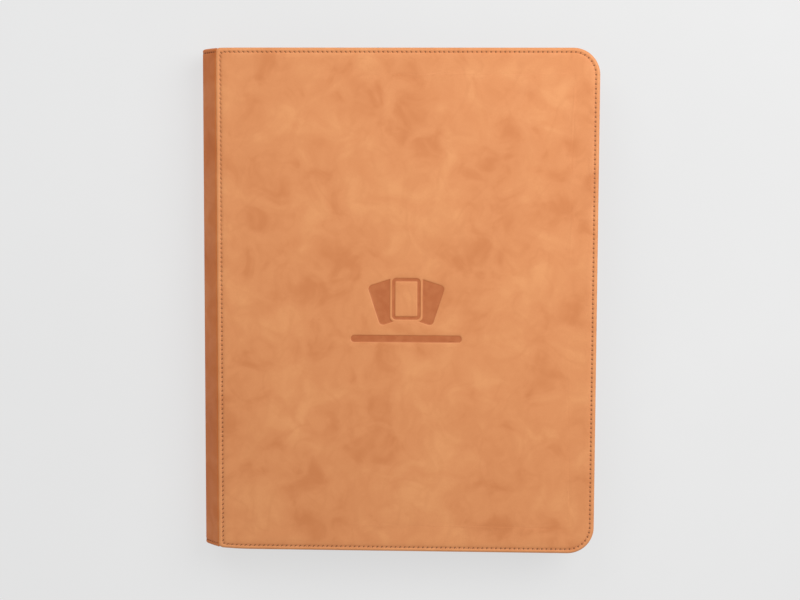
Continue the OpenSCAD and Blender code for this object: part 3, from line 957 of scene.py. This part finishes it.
def spine_fabric():
    """The lining on the spine board, behind the page binding."""
    lo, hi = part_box("spine_lining")
    soft = 0.2 * MM
    corners = [(-1, -1), (1, -1), (1, 1), (-1, 1)]
    shape = Shape()
    add_tube(shape, [[(x, sy * (hi.y - inset), MID_Z + sz * (hi.z - MID_Z - inset)) for sy, sz in corners]
                     for x, inset in ((lo.x, 0), (hi.x - soft, 0), (hi.x, soft))])
    made = place(smooth_by_angle(shape.piece("spine_fabric", LINING), 30), "spine", "lining", "spine_lining")


def hinge_fabric(side, flip):
    """The lining that carries on from a cover to the spine, folded in while the binder is closed."""
    lo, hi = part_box("back_hinge_strip")
    thick, turn, slack = 0.4 * MM, 0.35 * MM, 0.05 * MM
    mid = (lo.z + hi.z) / 2
    level = np.arange(lo.x + 3 * turn, hi.x, 0.8 * MM)
    section = np.array(
        [(x, lo.z) for x in level[::-1]]
        + [(lo.x + turn, lo.z + slack), (lo.x, lo.z + turn), (lo.x, mid), (lo.x, hi.z), (lo.x + thick, hi.z),
           (lo.x + thick, mid + turn / 2), (lo.x + thick + turn, lo.z + thick + slack)]
        + [(x, lo.z + thick) for x in level])
    if flip:
        section[:, 1] = CASE_T - section[:, 1]
    stations = np.linspace(lo.y, hi.y, 90)
    puff = 0.06 * MM * np.sin(stations / (5 * MM)) * np.sin(stations / (17 * MM))
    shape = Shape()
    add_tube(shape, [at_y(section + (p, 0), y) for y, p in zip(stations, puff)])
    made = smooth_by_angle(shape.piece(side + "_hinge_fabric", LINING), 50)
    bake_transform(made)
    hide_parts(side + "_hinge_strip")


# ---- Zip ----

def zip_run(inset, from_x, to_x, spacing, bottom_only=False):
    """Evenly spaced points, outward normals and directions along the bottom, fore-edge and top."""
    run = np.concatenate([[0], np.cumsum(stretch_lengths(inset))])[:6]
    left = CREASE_X + inset
    start = from_x - left
    end = to_x - left if bottom_only else run[5] - (to_x - left)
    along = start + np.arange(round((end - start) / spacing) + 1) * spacing
    where = np.interp(along, run, np.arange(6))
    normals = outward(where)
    return outline(where, inset, ease=False), normals, np.column_stack([-normals[:, 1], normals[:, 0]])


def zip_tape(side, body, flip):
    """The woven tape: a flange sewn under the cover's edge, and a wall with a bead for the coil."""
    low, top, half = TAPE_LO.z, TAPE_HI.z, TAPE_HALF_T
    flange, thick = 3.8 * MM, 0.45 * MM
    wall = np.linspace(low + 1.6 * MM, top - 1.4 * MM, 6)
    belly = 0.3 * MM * np.sin(np.linspace(0, math.pi, 6))
    bead = [(0.62, -0.7), (0.6, -0.1), (0.3, 0.1), (-0.3, 0.1), (-0.6, -0.1), (-0.62, -0.7)]
    section = np.array(
        [(flange, low), (flange, low + thick), (1.3 * MM, low + thick), (0.65 * MM, low + 0.8 * MM)]
        + list(zip(half + belly, wall)) + [(u * MM, top + v * MM) for u, v in bead]
        + list(zip(-half + belly[::-1], wall[::-1])) + [(-half, low)])
    across = np.concatenate([[0], np.cumsum(np.linalg.norm(np.diff(section, axis=0), axis=1))])
    if flip:
        section[:, 1] = CASE_T - section[:, 1]
    xy, normals, _ = zip_run(TAPE_INSET, TAPE_LO.x, TAPE_LO.x, TAPE_STEP)
    rings = [np.column_stack([point + normal * section[:, :1], section[:, 1]])
             for point, normal in zip(xy, normals)]
    shape = Shape()
    add_tube(shape, rings, run=np.repeat(np.arange(len(xy)) * TAPE_STEP, len(section)),
             across=np.tile(across, len(xy)))
    made = smooth_by_angle(shape.piece(side + "_zip_webbing", TAPE), 50)
    place(made, body, "zip_tape", side + "_zip_tape")


def coil_loop():
    """One turn of the back tape's coil round the tape's edge, in (along, outward, z), as rings of a tube."""
    leg, shift, neck = 0.86 * MM, 0.28 * MM, 0.66 * MM
    foot, head = TAPE_HI.z - 1.2 * MM, MID_Z + 0.34 * MM
    half = [(shift * 0.6, neck, head - 0.3 * MM), (shift, leg, head - 1.0 * MM), (shift, leg, foot)]
    return tube_along([(-u, -v, z) for u, v, z in reversed(half)] + [(0, 0, head)] + half, WIRE_R, COIL_SIDES)


def zip_coil(name, body, flip, from_x, to_x, bottom_only, *nodes):
    """A stretch of interlocking coil on its core. The front side's turns stand half a pitch further on."""
    shape = Shape()
    loop = coil_loop()
    level = CASE_T - loop[..., 2:] if flip else loop[..., 2:]
    phase = 0.5 * COIL_PITCH if flip else 0
    for point, normal, ahead in zip(*zip_run(TAPE_INSET, from_x + phase, to_x, COIL_PITCH, bottom_only)):
        flat = point + loop[..., :1] * ahead + loop[..., 1:2] * normal
        add_tube(shape, np.concatenate([flat, level], -1))
    xy, _, _ = zip_run(TAPE_INSET, from_x, to_x, 3 * MM, bottom_only)
    z = CASE_T - TAPE_HI.z - CORE_OUT if flip else TAPE_HI.z + CORE_OUT
    add_tube(shape, tube_along(np.column_stack([xy, np.full(len(xy), z)]), CORE_R, 6))
    return place(shape.piece(name, COIL), body, "zip_coil", *nodes)


def zip_chain(side, body, flip):
    """One side's coil: the straight stretch that the slider runs over and parts, and the rest."""
    middle = CHAIN_X + math.floor(SLIDER_TRAVEL / COIL_PITCH) * COIL_PITCH
    straight = zip_coil(side + "_zip_chain_straight", body, flip, CHAIN_X, middle, True)
    zip_coil(side + "_zip_chain", body, flip, middle + COIL_PITCH, CHAIN_END_X, False, side + "_zip_coil")
    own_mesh(straight)


def add_prism(shape, corners, low, high, axis):
    """A prism whose corners are (u, v) points, between two places on an axis: 1 for Y and 2 for Z."""
    order = [(0, 1, 2), (0, 2, 1)][axis == 1]
    ends = sorted([low, high])
    add_tube(shape, [np.column_stack([corners, np.full(len(corners), level)])[:, order] for level in ends])


def slider_body():
    """Two shaped plates with flanges, the post that parts the chain, and the crown."""
    shape = Shape()
    x = (SLIDER_LO.x + SLIDER_HI.x) / 2

    def at(points, v0=0.0):
        return [(x + u * MM, v0 + v * MM) for u, v in points]

    def mirrored(upper):
        """A closed outline from its upper half, (u, v) from the zip's middle."""
        return np.array(at(upper, MID_Z) + at([(u, -v) for u, v in reversed(upper)], MID_Z))

    half = [(-6, 2.6), (-5.5, 3.6), (-4.4, 4.4), (-3, 4.5), (0.5, 4.3), (3.5, 3.8), (5.4, 3.5), (6, 2.9)]
    rim = half[1:-1] + [(u, v - 0.9) for u, v in reversed(half[1:-1])]
    for side in (-1, 1):
        tip, inner, outer = (WALL_Y + side * y * MM for y in (1.26, 1.6, 2.6))
        add_prism(shape, mirrored(half), inner, outer, 1)
        for up in (-1, 1):
            add_prism(shape, np.array(at([(u, up * v) for u, v in rim], MID_Z)), tip, inner, 1)
    post = [(-6, 0.3), (-5.4, 0.6), (-4.4, 0.55), (-3.5, 0.2)]
    add_prism(shape, mirrored(post), WALL_Y - 2 * MM, WALL_Y + 2 * MM, 1)
    panel = [(-4.6, 1.9), (-3.6, 2.9), (3.4, 2.6), (4.8, 1.6)]
    add_prism(shape, mirrored(panel), WALL_Y - 2.75 * MM, WALL_Y - 2.5 * MM, 1)
    crown = [(-4.1, 0), (-4.1, -1.2), (-3.6, -1.9), (-2.8, -2.1), (2.8, -2.1), (3.6, -1.9), (4.1, -1.2),
             (4.1, 0), (3.3, 0), (3.3, -0.9), (2.9, -1.25), (-2.9, -1.25), (-3.3, -0.9), (-3.3, 0)]
    add_prism(shape, np.array(at(crown, WALL_Y - 2.5 * MM)), MID_Z - 1.2 * MM, MID_Z + 1.2 * MM, 2)
    made = shape.piece("slider_body", METAL, smooth=False)
    bevel(made, 0.18 * MM)
    apply_modifiers(made)
    smooth_by_angle(made, 40)
    made.data.polygons.foreach_set("use_smooth", [True] * len(made.data.polygons))
    place(made, "zip_slider", "zip_metal", "zip_slider")


def pull_ring():
    """The wire ring between the crown and the leather tab."""
    r = 0.45 * MM
    y = (RING_LO.y + RING_HI.y) / 2
    half, bend = 2 * MM, 0.9 * MM
    right, left, up = RING_HI.x - r - bend, RING_LO.x + r + bend, half - bend
    path = [
        (cx + bend * math.cos(a), y, MID_Z + cz + bend * math.sin(a))
        for cx, cz, start in ((right, -up, -90), (right, up, 0), (left, up, 90), (left, -up, 180))
        for a in np.radians(np.linspace(start, start + 90, 6))
    ]
    count = len(path)
    numbers = grid_faces(count + 1, RING_SIDES, wrap=True)
    shape = Shape()
    shape.add(tube_along(path, r, RING_SIDES, closed=True),
              [[n % (count * RING_SIDES) for n in face] for face in numbers])
    place(shape.piece("pull_ring", METAL), "zip_pull", "zip_metal", "zip_pull_ring")


def pull_tab():
    """The leather tab of the pull, with a folded neck, and the stitches along its edge."""
    y = (TAB_LO.y + TAB_HI.y) / 2
    half_t = (TAB_HI.y - TAB_LO.y) / 2
    start, end = TAB_LO.x, TAB_HI.x
    half_w, neck = 4 * MM, 1.4 * MM
    shoulder = start + 3 * MM
    centre = end - half_w

    def arc(r, count):
        return [(centre + r * math.cos(a), r * math.sin(a)) for a in np.radians(np.linspace(-90, 90, count))]

    lower = [(start, -neck), (start + 1.5 * MM, -neck), (shoulder, -neck),
             (shoulder + 1.2 * MM, 0.8 * MM - half_w), (shoulder + 2.4 * MM, -half_w)]
    lower += [(x, -half_w) for x in np.linspace(shoulder + 4 * MM, centre - 2 * MM, 8)]
    loop = np.array(lower + arc(half_w, 19) + [(u, -v) for u, v in reversed(lower)])
    tangent = np.roll(loop, -1, 0) - np.roll(loop, 1, 0)
    tangent /= np.linalg.norm(tangent, axis=1)[:, None]
    inward = np.column_stack([-tangent[:, 1], tangent[:, 0]])
    levels = [(0.9, -0.92, 0), (0.35, -1, 0.7), (0.08, -0.75, 1), (0, -0.35, 0.6),
              (0, 0.35, 0.6), (0.08, 0.75, 1), (0.35, 1, 0.7), (0.9, 0.92, 0)]
    shape = Shape()
    rings = [at_y(loop + inward * inset * MM + (0, MID_Z), y + level * half_t) for inset, level, _ in levels]
    # edge lightens the tab's rounded rim: partly rubbing, partly painted highlight
    add_tube(shape, rings, edge=np.repeat([float(edge) for _, _, edge in levels], len(loop)))
    place(shape.piece("pull_tab", PULL_LEATHER), "zip_pull", "pull_leather", "zip_pull_tab")

    seam_w = half_w - 1.1 * MM
    straight = np.arange(shoulder + 3.4 * MM, centre - 0.8 * MM, 1.9 * MM)
    line = np.array([(x, -seam_w) for x in straight] + arc(seam_w, 6) + [(x, seam_w) for x in straight[::-1]])
    seam = Shape()
    for side in (-1, 1):
        points = at_y(line + (0, MID_Z), y + side * half_t * 0.93)
        add_stitches(seam, points[:-1], points[1:], (0.0, side, 0.0), 0.6)
    place(seam.piece("pull_thread", THREAD), "zip_pull", "thread")


# ---- Pages ----

def pocket_lines(start, size, count=3):
    """Grid lines across a row of pockets, with welds between them, and the pockets' own edges."""
    lines, edges = [], []
    for low in start + np.arange(count) * (size + WELD):
        high = low + size
        lines += [low + d * MM for d in (0, 0.5, 1.4, 2.2, 8)] + [low + size / 2]
        lines += [high - d * MM for d in (8, 1.5, 0.5, 0)]
        edges.append((low, high))
    return lines, edges


def inside(value, edges, soft):
    """1 inside any of the spans, falling to 0 at their ends."""
    return sum(smoothstep(0, soft, np.minimum(value - low, high - value)) for low, high in edges)


def rounded_corner(x, y, low_x, high_x, end_y, r):
    """Moves grid points in the four corner squares of a sheet onto a quarter disc."""
    right = np.where(x > (low_x + high_x) / 2, 1, -1)
    upper = np.where(y > 0, 1, -1)
    cx, cy = np.where(right > 0, high_x - r, low_x + r), upper * (end_y - r)
    u, v = (x - cx) / r * right, (y - cy) / r * upper
    corner = (u > 0) & (v > 0)
    new_u = np.where(corner, u * np.sqrt(np.clip(1 - v * v / 2, 0, 1)), u)
    new_v = np.where(corner, v * np.sqrt(np.clip(1 - u * u / 2, 0, 1)), v)
    return cx + new_u * r * right, cy + new_v * r * upper


def page(name, seed):
    """One page: a folding tab, and a black sheet with welded clear pockets on both faces."""
    lo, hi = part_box(name)
    z = (lo.z + hi.z) / 2
    end_x, end_y = hi.x, hi.y
    hinge = lo.x - 0.3 * MM
    sheet = hinge + PAGE_HINGE_L
    near = 0.1 * MM
    xs, columns = pocket_lines(hinge + POCKET_START, POCKET[0])
    ys, rows = pocket_lines(-1.5 * POCKET[1] - WELD, POCKET[1])
    xs = np.array(sorted({sheet, sheet + PAGE_CORNER_R / 3, end_x - PAGE_EDGE, end_x, *xs}))
    ys = np.array(sorted({-end_y, -end_y + PAGE_EDGE, end_y - PAGE_EDGE, end_y, *ys}))
    x, y = (values.ravel() for values in np.meshgrid(xs, ys))
    film = inside(x, columns, 0.5 * MM) * inside(y, rows, 0.5 * MM)
    mouth = sum(bump_at(x, low + 1.4 * MM, 0.45 * MM) for low, _ in columns) * film
    pillow = inside(x, columns, 25 * MM) * inside(y, rows, 35 * MM)
    ripple = 0.03 * MM * waves(x, y, 30 * MM, 4, seed) * film
    half = (0.25 + 0.1 * film + 0.05 * pillow + 0.05 * mouth) * MM
    half = np.where((x < sheet + near) | (x > end_x - near) | (np.abs(y) > end_y - near), 0.2 * MM, half)
    weld = (x < columns[-1][1] + 1 * MM) & (np.abs(y) < 1.5 * POCKET[1] + WELD + 1 * MM)
    weld = np.clip((1 - film) * weld + mouth, 0, 1)
    flat = rounded_corner(x, y, sheet, end_x, end_y, PAGE_CORNER_R)
    count, size = len(x), (len(ys), len(xs))
    faces, loop = grid_faces(*size), grid_rim(*size)
    faces += flipped(faces, count)
    faces += [(a, a + count, b + count, b) for a, b in zip(loop, loop[1:] + loop[:1])]
    shape = Shape()
    shape.add(np.vstack([np.column_stack([*flat, z + side * half + ripple]) for side in (1, -1)]), faces,
              film=np.tile(film, 2), weld=np.tile(weld, 2))
    tab = np.array([(0, -1), (3, -1), (6, -1), (10.4, -1), (10.4, 1), (6, 1), (3, 1), (0, 1)])
    tab = tab * (MM, 0.125 * MM) + (lo.x, z)
    tab_y = end_y - PAGE_CORNER_R
    add_tube(shape, [at_y(tab, v) for v in np.linspace(-tab_y, tab_y, 24)], film=0.3)
    place(smooth_by_angle(shape.piece("pocket_" + name, PAGE), 50), name, "page_film", name)


# ---- Stage ----

def area_light(name, spot, target, size, watts, colour):
    light = bpy.data.lights.new(name, "AREA")
    light.shape = "DISK"
    light.size = size
    light.energy = watts
    light.color = colour
    made = bpy.data.objects.new(name, light)
    made.location = spot
    made.rotation_euler = (Vector(target) - Vector(spot)).to_track_quat("-Z", "Y").to_euler()
    bpy.context.scene.collection.objects.link(made)


def stage():
    """A pale floor that glows as painted light, soft studio light from the upper right, and the camera nearly
    overhead.
    """
    scene = bpy.context.scene
    floor = Shape()
    floor.add([(x * FLOOR_HALF, y * FLOOR_HALF, FLOOR_Z) for x, y in ((-1, -1), (1, -1), (1, 1), (-1, 1))],
              [(0, 1, 2, 3)])
    floor.piece("floor", FLOOR, smooth=False)
    scene.world = bpy.data.worlds.new("studio")
    scene.world.use_nodes = True
    background = scene.world.node_tree.nodes["Background"]
    background.inputs["Color"].default_value = (0.98, 0.99, 1.0, 1)
    background.inputs["Strength"].default_value = 0.4
    area_light("key", (0.62, 0.46, 0.84), (0.03, 0.02, 0), 0.8, 9.2, (1.0, 0.99, 0.98))
    area_light("fill", (-0.4, 0.95, 0.95), (0, 0, 0), 0.9, 5.0, (0.93, 0.97, 1.0))
    camera = bpy.data.objects.new("camera", bpy.data.cameras.new("camera"))
    camera.location = CAMERA_AT
    camera.rotation_euler = [math.radians(a) for a in CAMERA_TURN]
    camera.data.lens = CAMERA_LENS
    camera.data.sensor_width = 36
    scene.collection.objects.link(camera)
    scene.camera = camera
    scene.view_settings.view_transform = "Standard"


# ---- The binder ----

for side, body, face_z, facing in (("front", "front_cover", CASE_T, 1), ("back", "back_cover", 0.0, -1)):
    flip = side == "front"
    cover_leather(side, body, face_z, facing, marked=flip)
    cover_thread(side, body, face_z, facing)
    cover_layers(side, body, face_z, facing)
    hinge_fabric(side, flip)
    zip_tape(side, body, flip)
    zip_chain(side, body, flip)
spine_leather()
spine_turn_in("spine_turn_in_bottom", -1)
spine_turn_in("spine_turn_in_top", 1)
spine_padding()
spine_thread()
spine_fabric()
slider_body()
pull_ring()
pull_tab()
for number, name in enumerate(PAGES):
    page(name, 100 + number)

# CAD parts that are shown as they are, with rounded edges
for name, look, rounding in (
    ("spine_board", BOARD, 0.3 * MM), ("page_binding", BINDING, 0.35 * MM),
    ("binding_rivets", METAL, 0.2 * MM), ("zip_end_stop", METAL, 0.2 * MM),
    ("back_zip_top_stop", METAL, 0.15 * MM), ("front_zip_top_stop", METAL, 0.15 * MM),
):
    node = frame["nodes"][name]
    node.data.materials.clear()
    node.data.materials.append(look)
    bevel(node, rounding)

stage()
